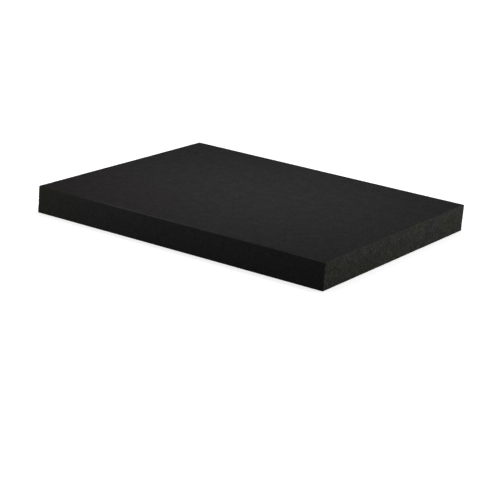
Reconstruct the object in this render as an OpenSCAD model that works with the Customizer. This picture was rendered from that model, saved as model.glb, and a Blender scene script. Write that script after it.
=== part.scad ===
// Packing foam sheet: one slab of fine-celled black foam, cut square from a block.
// The origin is at the middle of the face it lies on, X runs along the long side and Z is up.

/* [Sheet] */
// Length of the long side
sheet_length = 300; // [150:5:1000]
// Width of the short side
sheet_width = 250; // [100:5:800]
// Thickness between the two skived faces
sheet_thickness = 25; // [8:1:100]

/* [Edges] */
// Radius of the soft arris where a skived face meets a cut side
arris_radius = 0.6; // [0.2:0.1:1]
// Radius of the four upright corners, seen from above
corner_radius = 1.2; // [1.1:0.1:30]

/* [Hidden] */
$fn = 64;
// Middles of the upright corners' arcs
corner_x = sheet_length / 2 - corner_radius;
corner_y = sheet_width / 2 - corner_radius;

// Half of an upright section: from an inner line out to the cut side, with both arrises eased.
module edge_section(reach) {
    flat_depth = reach - arris_radius;
    square([flat_depth, sheet_thickness]);
    translate([0, arris_radius])
        square([reach, sheet_thickness - 2 * arris_radius]);
    for (height = [arris_radius, sheet_thickness - arris_radius])
        intersection() {
            translate([flat_depth, height])
                circle(arris_radius);
            square([reach, sheet_thickness]);
        }
}

// A straight stretch of the sheet, from its middle line out to the cut side that faces +X.
module straight_side(run, reach) {
    translate([0, run / 2, 0])
        rotate([90, 0, 0])
            linear_extrude(run)
                edge_section(reach);
}

// The quarter turn that joins two cut sides, between +X and +Y.
module upright_corner() {
    rotate_extrude(angle = 90)
        edge_section(corner_radius);
}

module foam_sheet() {
    color([0.17, 0.17, 0.17])
        union() {
            for (turn = [0, 180])
                rotate([0, 0, turn]) {
                    straight_side(2 * corner_y, sheet_length / 2);
                    rotate([0, 0, 90])
                        straight_side(2 * corner_x, sheet_width / 2);
                }
            for (left = [0, 1])
                mirror([left, 0, 0])
                    for (front = [0, 1])
                        mirror([0, front, 0])
                            translate([corner_x, corner_y, 0])
                                upright_corner();
        }
}

foam_sheet();
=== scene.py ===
from math import cos, hypot, radians, sin

import bmesh
import bpy
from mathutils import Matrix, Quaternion, Vector, noise


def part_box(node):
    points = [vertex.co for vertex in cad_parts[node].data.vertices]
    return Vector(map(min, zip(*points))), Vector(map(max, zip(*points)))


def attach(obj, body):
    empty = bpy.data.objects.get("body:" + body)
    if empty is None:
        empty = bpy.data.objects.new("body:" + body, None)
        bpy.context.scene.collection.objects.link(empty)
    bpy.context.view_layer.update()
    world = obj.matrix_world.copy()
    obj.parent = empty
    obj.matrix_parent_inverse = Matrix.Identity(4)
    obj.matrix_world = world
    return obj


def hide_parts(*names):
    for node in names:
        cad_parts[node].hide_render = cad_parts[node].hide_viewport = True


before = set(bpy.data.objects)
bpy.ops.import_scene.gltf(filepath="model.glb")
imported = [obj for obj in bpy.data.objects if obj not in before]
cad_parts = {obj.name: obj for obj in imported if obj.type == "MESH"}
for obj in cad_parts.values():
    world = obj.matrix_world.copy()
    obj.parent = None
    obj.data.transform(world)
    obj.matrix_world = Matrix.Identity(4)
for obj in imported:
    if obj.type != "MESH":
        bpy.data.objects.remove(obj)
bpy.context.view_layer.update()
scene = bpy.context.scene

# Foam sheet
# One slab of fine-celled black polyethylene foam. A band knife skives its two large faces off the block
# and slits the long sides, and a saw cross-cuts the short ends, where it tears the cells wider open.
mm = 0.001
low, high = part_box("foam_sheet")
thickness = high.z - low.z
corner_radius = 1.2 * mm
arris_radius = 0.6 * mm
round_segments = 3
# The flat rim beside each arris keeps the shading of the faces flat
flat_rim = 0.5 * mm
# Spacing of the mesh: strips across the faces, columns and rows on the cut sides
strip_width = 4.0 * mm
columns_per_strip = 7
side_rows = 34
# Differences in place that count as none
slack = 0.01 * mm
cut_slack = 0.0001 * mm


def rise(edge):
    """How far an edge climbs."""
    start, end = edge.verts
    return abs(end.co.z - start.co.z)


def is_level(edge):
    """Whether an edge lies level."""
    return rise(edge) < slack


def near_side(edge):
    """Whether an edge lies on a cut side, its arrises or the flat rims beside them."""
    start, end = edge.verts
    middle = (start.co + end.co) / 2
    reach = arris_radius + flat_rim + slack
    return abs(middle.x) > high.x - reach or abs(middle.y) > high.y - reach


def round_edges(mesh, edges, radius):
    """Rounds edges of a mesh to a radius."""
    bmesh.ops.bevel(
        mesh,
        geom=edges,
        offset=radius,
        segments=round_segments,
        profile=0.5,
        affect="EDGES",
        material=-1,
    )


slab = bmesh.new()
bmesh.ops.create_cube(slab, size=1.0)
bmesh.ops.scale(slab, vec=high - low, verts=slab.verts)
bmesh.ops.translate(slab, vec=(low + high) / 2, verts=slab.verts)
upright_corners = [edge for edge in slab.edges if not is_level(edge)]
round_edges(slab, upright_corners, corner_radius)
arrises = [edge for edge in slab.edges if is_level(edge)]
round_edges(slab, arrises, arris_radius)
# A skived face lies level, and every facet of the arrises is tilted further than this
level_normal = 0.99
skived_faces = [face for face in slab.faces if abs(face.normal.z) > level_normal]
bmesh.ops.inset_region(slab, faces=skived_faces, thickness=flat_rim, use_even_offset=True)

# Strips across the whole slab, then finer columns and rows on the cut sides alone
for axis in (0, 1):
    reach = high[axis] - corner_radius
    strips = round(2 * reach / strip_width)
    across = Vector((1 - axis, axis, 0))
    for cut in range(1, strips):
        bmesh.ops.bisect_plane(
            slab,
            geom=[*slab.verts, *slab.edges, *slab.faces],
            dist=cut_slack,
            plane_co=across * (2 * cut / strips - 1) * reach,
            plane_no=across,
        )
strip_edges = [
    edge
    for edge in slab.edges
    if is_level(edge) and near_side(edge) and edge.calc_length() > strip_width / 2
]
bmesh.ops.subdivide_edges(slab, edges=strip_edges, cuts=columns_per_strip - 1, use_grid_fill=True)
side_edges = [edge for edge in slab.edges if rise(edge) > thickness / 2]
bmesh.ops.subdivide_edges(slab, edges=side_edges, cuts=side_rows - 1, use_grid_fill=True)
wide_faces = [face for face in slab.faces if len(face.verts) > 4]
bmesh.ops.triangulate(slab, faces=wide_faces)

# Each face of the slab has the finish of its cut. The facet of an arris that lies beside a skived face
# counts as skived, and the facets of an upright corner that face an end within 60 degrees count as sawn.
skived, slit, sawn = range(3)
skived_normal = 0.9
sawn_normal = 0.5
for face in slab.faces:
    if abs(face.normal.z) > skived_normal:
        face.material_index = skived
    elif abs(face.normal.x) > sawn_normal:
        face.material_index = sawn
    else:
        face.material_index = slit
    face.smooth = True
slab.normal_update()

# Cells torn open on the cut sides, each a bowl of its own depth that slopes down from the walls around it.
# The cut sides get painted shade, darker in the bowls of the torn cells and towards the lower face.
torn_cell = 2.0 * mm
# The share of a cell taken up by its sloping walls, and the share of the bowls' painted shade on them
wall_slope = 0.6
wall_shade = 0.5
# Spreads the middles of the cells over the noise, so that neighbours differ in depth
depth_shuffle = 5.3
# How much painted shade lies at the upper face, as a share of that at the lower face
top_shade_share = 0.05


def even_noise(place):
    """Noise between 0 and 1."""
    return 0.5 + 0.5 * noise.noise(place)


def torn_bowl(vert):
    """How far a point lies down in a torn cell, from 0 on its walls up to 1."""
    distances, centres = noise.voronoi(vert.co / torn_cell)
    bowl = min(1.0, (distances[1] - distances[0]) / wall_slope)
    return bowl * even_noise(centres[0] * depth_shuffle)


def painted_shade_share(vert, bowl):
    """How much painted shade lies at a point, from 0 to 1, most in the bowls and towards the lower face."""
    height_share = (vert.co.z - low.z) / thickness
    low_shade = (1 - abs(vert.normal.z)) * (height_share * top_shade_share + 1 - height_share)
    return low_shade * (wall_shade + (1 - wall_shade) * bowl)


# Painted highlight: the arrises and upright corners are paler here and there, the sawn ends' arrises least
highlight_patch = 75.0 * mm
# The sheet's place in the noise, which sets where along the edges the painted highlight lies
highlight_start = Vector((660.0 * mm, 0, 0))
highlight_level = 0.6
highlight_contrast = 0.8
highlight_on_ends = 0.1
highlight_on_corners = 0.5


def painted_highlight_share(vert):
    """How much painted highlight lies at a point, from 0 to 1."""
    facing_x, facing_y, upward = (abs(part) for part in vert.normal)
    highlight = max(0.0, highlight_level + highlight_contrast * noise.noise((vert.co + highlight_start) / highlight_patch))
    on_edges = 2 * upward * (facing_y + highlight_on_ends * facing_x)
    on_edges += 2 * facing_x * facing_y * highlight_on_corners
    return min(1.0, highlight * on_edges)


# A faint cast of colour: it fades from the left front corner over the upper face, and from the left end
# along the long sides, and lies in patches on the ends
cast_length = 170.0 * mm
cast_width = 125.0 * mm
cast_on_sides = 60.0 * mm
cast_patch = 16.0 * mm
cast_level = 0.4
cast_contrast = 1.8


def cast_share(vert):
    """How much of the cast lies at a point, from 0 to 1."""
    offset = vert.co - low
    on_face = max(0.0, 1 - (offset.x / cast_length) ** 2 - (offset.y / cast_width) ** 2)
    on_sides = max(0.0, 1 - offset.x / cast_on_sides)
    on_ends = max(0.0, cast_level + cast_contrast * noise.noise(vert.co / cast_patch))
    tinge = max(0.0, vert.normal.z) * on_face
    tinge += abs(vert.normal.y) * on_sides + abs(vert.normal.x) * on_ends
    return min(1.0, tinge)


# Torn cells, sides that wander with the blade, nibbled arrises and an upper face that isn't quite flat
slit_depth = 0.20 * mm
saw_depth = 0.40 * mm
blade_wave = 28.0 * mm
blade_wander = 0.15 * mm
nibble_size = 2.6 * mm
nibble_depth = 0.30 * mm
face_wave = 55.0 * mm
face_depth = 0.12 * mm


def cut_depth(vert, bowl):
    """How far the real surface lies inside the plain slab at a point."""
    facing_x, facing_y, upward = (abs(part) for part in vert.normal)
    arris = 2 * upward * hypot(facing_x, facing_y)
    depth = bowl * (facing_x * saw_depth + facing_y * slit_depth)
    depth += (1 - upward) * even_noise(vert.co / blade_wave) * blade_wander
    depth += arris * max(0.0, noise.noise(vert.co / nibble_size)) * nibble_depth
    depth += max(0.0, vert.normal.z) * even_noise(vert.co / face_wave) * face_depth
    return depth


painted_shade = slab.verts.layers.float.new("painted_shade")
painted_highlight = slab.verts.layers.float.new("painted_highlight")
cast = slab.verts.layers.float.new("cast")
for vert in slab.verts:
    bowl = torn_bowl(vert)
    # Painted shade, darker in the bowls of the torn cells and towards the lower face
    vert[painted_shade] = painted_shade_share(vert, bowl)
    # Painted highlight on the arrises and upright corners
    vert[painted_highlight] = painted_highlight_share(vert)
    vert[cast] = cast_share(vert)
    vert.co -= vert.normal * cut_depth(vert, bowl)
# Rounding leaves a few faces in a chance order, so all are put in order along a slanting line,
# and the mesh is the same on each run
sorting_line = Vector((1.0, 0.31, 0.17))
slab.faces.sort(key=lambda face: face.calc_center_median().dot(sorting_line))

sheet_mesh = bpy.data.meshes.new("foam_sheet_skin")
slab.to_mesh(sheet_mesh)
slab.free()
sheet = bpy.data.objects.new("foam_sheet_skin", sheet_mesh)
scene.collection.objects.link(sheet)

# The cells of the foam, in every finish: bubbles of uneven size that were cut open to round bowls.
# Height runs from 0 in the middle of a bubble up to 1 on the walls, which stand where bowls meet.
# Tone follows it from dark to pale, painting shade into the bowls and a glint onto the walls, with a few
# pale flecks that are painted glints, in patches that are a little paler or darker.
# Walls are smoother than the hollows, so Roughness falls as Tone rises.
cells = bpy.data.node_groups.new("foam cells", "ShaderNodeTree")
for socket_name in ("Cells per Metre", "Fleck Share", "Patch Strength"):
    cells.interface.new_socket(socket_name, in_out="INPUT", socket_type="NodeSocketFloat")
for socket_name in ("Tone", "Height", "Roughness"):
    cells.interface.new_socket(socket_name, in_out="OUTPUT", socket_type="NodeSocketFloat")
cells_in = cells.nodes.new("NodeGroupInput")
cells_out = cells.nodes.new("NodeGroupOutput")
place = cells.nodes.new("ShaderNodeTexCoord")
# A swirl pushes the cells about, so that they are uneven
swirl_size = 3.8 * mm
swirl_reach = 1.2 * mm
swirl = cells.nodes.new("ShaderNodeTexNoise")
swirl.inputs["Scale"].default_value = 1 / swirl_size
swirl.inputs["Detail"].default_value = 2.0
shift = cells.nodes.new("ShaderNodeVectorMath")
shift.operation = "MULTIPLY_ADD"
shift.inputs[1].default_value = (swirl_reach, swirl_reach, swirl_reach)
# A bowl widens from the middle of its bubble to this share of a cell
bowl_radius = 0.85
bubble = cells.nodes.new("ShaderNodeTexVoronoi")
bowl_height = cells.nodes.new("ShaderNodeMapRange")
bowl_height.interpolation_type = "SMOOTHSTEP"
bowl_height.inputs["From Max"].default_value = bowl_radius
# Each cell has a chance to be a pale fleck, a painted glint, and a higher power leaves fewer of them
fleck_power = 4.0
chance = cells.nodes.new("ShaderNodeSeparateColor")
fleck = cells.nodes.new("ShaderNodeMath")
fleck.operation = "POWER"
fleck.inputs[1].default_value = fleck_power
flecked = cells.nodes.new("ShaderNodeMix")
# The noise of the patches is darkest and palest at these levels
patch_size = 9.0 * mm
patch_dark = 0.3
patch_pale = 0.7
patches = cells.nodes.new("ShaderNodeTexNoise")
patches.inputs["Scale"].default_value = 1 / patch_size
patches.inputs["Detail"].default_value = 1.0
patch_tone = cells.nodes.new("ShaderNodeMapRange")
patch_tone.inputs["From Min"].default_value = patch_dark
patch_tone.inputs["From Max"].default_value = patch_pale
patch_tone.inputs["To Min"].default_value = -1.0
tone = cells.nodes.new("ShaderNodeMath")
tone.operation = "MULTIPLY_ADD"
tone.use_clamp = True
hollow_roughness = 1.0
wall_roughness = 0.78
polish = cells.nodes.new("ShaderNodeMapRange")
polish.inputs["To Min"].default_value = hollow_roughness
polish.inputs["To Max"].default_value = wall_roughness
cells_link = cells.links.new
cells_link(place.outputs["Object"], swirl.inputs["Vector"])
cells_link(swirl.outputs["Color"], shift.inputs[0])
cells_link(place.outputs["Object"], shift.inputs[2])
cells_link(shift.outputs["Vector"], bubble.inputs["Vector"])
cells_link(cells_in.outputs["Cells per Metre"], bubble.inputs["Scale"])
cells_link(bubble.outputs["Distance"], bowl_height.inputs["Value"])
cells_link(bubble.outputs["Color"], chance.inputs["Color"])
cells_link(chance.outputs["Red"], fleck.inputs[0])
cells_link(cells_in.outputs["Fleck Share"], flecked.inputs["Factor"])
cells_link(bowl_height.outputs["Result"], flecked.inputs["A"])
cells_link(fleck.outputs["Value"], flecked.inputs["B"])
cells_link(place.outputs["Object"], patches.inputs["Vector"])
cells_link(patches.outputs["Fac"], patch_tone.inputs["Value"])
cells_link(patch_tone.outputs["Result"], tone.inputs[0])
cells_link(cells_in.outputs["Patch Strength"], tone.inputs[1])
cells_link(flecked.outputs["Result"], tone.inputs[2])
cells_link(tone.outputs["Value"], polish.inputs["Value"])
cells_link(tone.outputs["Value"], cells_out.inputs["Tone"])
cells_link(bowl_height.outputs["Result"], cells_out.inputs["Height"])
cells_link(polish.outputs["Result"], cells_out.inputs["Roughness"])

# Marks over the colour in every finish: the faint cast, the painted highlight over it, and the painted
# shade over both. Each lies where an attribute of the mesh says.
highlight_colour = (0.050, 0.050, 0.050, 1)
marks = bpy.data.node_groups.new("foam cast and painted light", "ShaderNodeTree")
marks.interface.new_socket("Color", in_out="INPUT", socket_type="NodeSocketColor")
marks.interface.new_socket("Cast", in_out="INPUT", socket_type="NodeSocketColor")
marks.interface.new_socket("Painted Shade Level", in_out="INPUT", socket_type="NodeSocketFloat")
marks.interface.new_socket("Color", in_out="OUTPUT", socket_type="NodeSocketColor")
marks_in = marks.nodes.new("NodeGroupInput")
marks_out = marks.nodes.new("NodeGroupOutput")


def mark_layer(attribute, blend_type, below):
    """Lays a colour over the one below it, by as much as an attribute of the mesh says."""
    share = marks.nodes.new("ShaderNodeAttribute")
    share.attribute_name = attribute
    layer = marks.nodes.new("ShaderNodeMix")
    layer.data_type = "RGBA"
    layer.blend_type = blend_type
    marks.links.new(share.outputs["Fac"], layer.inputs["Factor"])
    marks.links.new(below, layer.inputs["A"])
    return layer


tinted = mark_layer("cast", "MULTIPLY", marks_in.outputs["Color"])
marks.links.new(marks_in.outputs["Cast"], tinted.inputs["B"])
# Painted highlight, paler along the arrises and upright corners
paler = mark_layer("painted_highlight", "SCREEN", tinted.outputs["Result"])
paler.inputs["B"].default_value = highlight_colour
# Painted shade, darker in the bowls of the torn cells and towards the lower face
shaded = mark_layer("painted_shade", "MULTIPLY", paler.outputs["Result"])
marks.links.new(marks_in.outputs["Painted Shade Level"], shaded.inputs["B"])
marks.links.new(shaded.outputs["Result"], marks_out.inputs["Color"])

foam_gloss = 0.005
bump_strength = 0.7


def foam_finish(
    name,
    cell_size,
    fleck_share,
    patch_strength,
    hollow_colour,
    wall_colour,
    cast_colour,
    painted_shade_level,
    bump_depth,
):
    """A matt black foam surface whose cells have the given size, colours and depth."""
    material = bpy.data.materials.new(name)
    material.use_nodes = True
    nodes = material.node_tree.nodes
    link = material.node_tree.links.new
    shader = nodes["Principled BSDF"]
    shader.inputs["Specular IOR Level"].default_value = foam_gloss
    structure = nodes.new("ShaderNodeGroup")
    structure.node_tree = cells
    structure.inputs["Cells per Metre"].default_value = 1 / cell_size
    structure.inputs["Fleck Share"].default_value = fleck_share
    structure.inputs["Patch Strength"].default_value = patch_strength
    # The hollows' darker colour is painted shade, and the walls' paler colour a painted glint
    cell_colour = nodes.new("ShaderNodeMix")
    cell_colour.data_type = "RGBA"
    cell_colour.inputs["A"].default_value = (*hollow_colour, 1)
    cell_colour.inputs["B"].default_value = (*wall_colour, 1)
    marked = nodes.new("ShaderNodeGroup")
    marked.node_tree = marks
    marked.inputs["Cast"].default_value = (*cast_colour, 1)
    marked.inputs["Painted Shade Level"].default_value = painted_shade_level
    relief = nodes.new("ShaderNodeBump")
    relief.inputs["Strength"].default_value = bump_strength
    relief.inputs["Distance"].default_value = bump_depth
    link(structure.outputs["Tone"], cell_colour.inputs["Factor"])
    link(cell_colour.outputs["Result"], marked.inputs["Color"])
    link(marked.outputs["Color"], shader.inputs["Base Color"])
    link(structure.outputs["Roughness"], shader.inputs["Roughness"])
    link(structure.outputs["Height"], relief.inputs["Height"])
    link(relief.outputs["Normal"], shader.inputs["Normal"])
    return material


# Each finish gives how far its painted shade darkens the colour, as the share of it that is left
skived_foam = foam_finish(
    "skived foam",
    cell_size=1.5 * mm,
    fleck_share=0.55,
    patch_strength=0.14,
    hollow_colour=(0.0222, 0.0222, 0.0222),
    wall_colour=(0.0322, 0.0322, 0.0322),
    cast_colour=(1.045, 0.905, 0.955),
    painted_shade_level=0.65,
    bump_depth=0.20 * mm,
)
slit_foam = foam_finish(
    "slit foam",
    cell_size=2.0 * mm,
    fleck_share=0.60,
    patch_strength=0.11,
    hollow_colour=(0.0272, 0.0272, 0.0272),
    wall_colour=(0.0370, 0.0370, 0.0370),
    cast_colour=(0.98, 1.0, 0.80),
    painted_shade_level=0.67,
    bump_depth=0.45 * mm,
)
sawn_foam = foam_finish(
    "sawn foam",
    cell_size=1.65 * mm,
    fleck_share=0.65,
    patch_strength=0.16,
    hollow_colour=(0.0260, 0.0261, 0.0255),
    wall_colour=(0.0475, 0.0477, 0.0465),
    cast_colour=(0.955, 1.0, 0.80),
    painted_shade_level=0.60,
    bump_depth=0.80 * mm,
)
for finish in (skived_foam, slit_foam, sawn_foam):
    sheet_mesh.materials.append(finish)
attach(sheet, "root")
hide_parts("foam_sheet")

# Floor
# A wide sheet of matt white studio paper that the foam lies on. It shows white to the camera,
# and returns less light than it shows, so the sides of the sheet stay as dark as they are.
floor_side = 16.0
paper_white = (0.90, 0.90, 0.90, 1)
paper_to_light = (0.15, 0.15, 0.15, 1)
paper_glow = 0.745


def shown_mask(tree):
    """A mask that is 1 for rays from the camera, mirrors and glass, and 0 for all other light."""
    rays = tree.nodes.new("ShaderNodeLightPath")
    shown = rays.outputs["Is Camera Ray"]
    for ray in ("Is Glossy Ray", "Is Transmission Ray"):
        either = tree.nodes.new("ShaderNodeMath")
        either.operation = "MAXIMUM"
        tree.links.new(shown, either.inputs[0])
        tree.links.new(rays.outputs[ray], either.inputs[1])
        shown = either.outputs["Value"]
    return shown


paper = bpy.data.materials.new("studio paper")
paper.use_nodes = True
paper_nodes = paper.node_tree.nodes
paper_link = paper.node_tree.links.new
paper_shader = paper_nodes["Principled BSDF"]
paper_shader.inputs["Roughness"].default_value = 1.0
paper_shader.inputs["Specular IOR Level"].default_value = 0.0
paper_shader.inputs["Emission Color"].default_value = (1.0, 1.0, 1.0, 1.0)
paper_shown = shown_mask(paper.node_tree)
paper_colour = paper_nodes.new("ShaderNodeMix")
paper_colour.data_type = "RGBA"
paper_colour.inputs["A"].default_value = paper_to_light
paper_colour.inputs["B"].default_value = paper_white
glow = paper_nodes.new("ShaderNodeMapRange")
glow.inputs["To Max"].default_value = paper_glow
paper_link(paper_shown, paper_colour.inputs["Factor"])
paper_link(paper_shown, glow.inputs["Value"])
paper_link(paper_colour.outputs["Result"], paper_shader.inputs["Base Color"])
paper_link(glow.outputs["Result"], paper_shader.inputs["Emission Strength"])
floor_shape = bmesh.new()
bmesh.ops.create_grid(floor_shape, x_segments=1, y_segments=1, size=floor_side / 2)
floor_mesh = bpy.data.meshes.new("floor")
floor_shape.to_mesh(floor_mesh)
floor_shape.free()
floor_mesh.materials.append(paper)
floor = bpy.data.objects.new("floor", floor_mesh)
scene.collection.objects.link(floor)

# Studio light
# An even pale room and a soft lamp over the sheet, with a wide one from high behind it, a low one that
# rakes along its right-hand end and a weak low one at its left.
room_light = 0.19
room_white = 1.0
world = bpy.data.worlds.new("studio")
world.use_nodes = True
scene.world = world
room = world.node_tree.nodes["Background"]
room.inputs["Color"].default_value = (1.0, 1.0, 1.0, 1.0)
room_level = world.node_tree.nodes.new("ShaderNodeMapRange")
room_level.inputs["To Min"].default_value = room_light
room_level.inputs["To Max"].default_value = room_white
world.node_tree.links.new(shown_mask(world.node_tree), room_level.inputs["Value"])
world.node_tree.links.new(room_level.outputs["Result"], room.inputs["Strength"])


def stand_lamp(lamp_data, place, aim_at):
    """Stands a lamp at a place and turns it to face a point."""
    lamp = bpy.data.objects.new(lamp_data.name, lamp_data)
    lamp.location = place
    lamp.rotation_mode = "QUATERNION"
    lamp.rotation_quaternion = (Vector(place) - Vector(aim_at)).to_track_quat("Z", "Y")
    scene.collection.objects.link(lamp)


def soft_box(name, place, aim_at, wide, tall, watts, colour=(1.0, 1.0, 1.0)):
    """A soft lamp of the given width and height, that stands at a place and faces a point."""
    lamp_data = bpy.data.lights.new(name, "AREA")
    lamp_data.shape = "RECTANGLE"
    lamp_data.size = wide
    lamp_data.size_y = tall
    lamp_data.energy = watts
    lamp_data.color = colour
    stand_lamp(lamp_data, place, aim_at)


back = bpy.data.lights.new("back", "SUN")
back.energy = 0.36
back.angle = radians(50)
stand_lamp(back, place=(-0.05, 0.45, 0.89), aim_at=(0.0, 0.0, 0.0))
soft_box(
    "overhead",
    place=(-0.006, 0.012, 0.28),
    aim_at=(-0.006, 0.012, 0.0),
    wide=0.16,
    tall=0.16,
    watts=0.49,
)
soft_box(
    "right",
    place=(1.12, 1.06, 0.06),
    aim_at=(0.15, 0.0, 0.01),
    wide=0.40,
    tall=0.08,
    watts=22.2,
    colour=(1.0, 1.0, 0.96),
)
soft_box(
    "left",
    place=(-0.50, -0.45, 0.05),
    aim_at=(-0.10, -0.12, 0.01),
    wide=0.25,
    tall=0.06,
    watts=1.30,
)

# Camera
# It stands in front of the sheet and to its right, a little above it, and is turned slightly about its axis.
# Its long lens takes in the sheet from almost one and a half metres away.
view_azimuth = radians(32.07)
view_elevation = radians(17.26)
view_roll = radians(4.63)
view_distance = 1.4385
view_centre = Vector((0.0483, -0.0765, 0.0))
sensor_width = 36.0
focal_length = 119.9
backward = Vector(
    (
        sin(view_azimuth) * cos(view_elevation),
        -cos(view_azimuth) * cos(view_elevation),
        sin(view_elevation),
    )
)
camera_data = bpy.data.cameras.new("camera")
camera_data.sensor_width = sensor_width
camera_data.lens = focal_length
camera = bpy.data.objects.new("camera", camera_data)
camera.location = view_centre + backward * view_distance
camera.rotation_mode = "QUATERNION"
camera.rotation_quaternion = (-backward).to_track_quat("-Z", "Y") @ Quaternion((0, 0, 1), view_roll)
scene.collection.objects.link(camera)
scene.camera = camera
scene.view_settings.view_transform = "Standard"
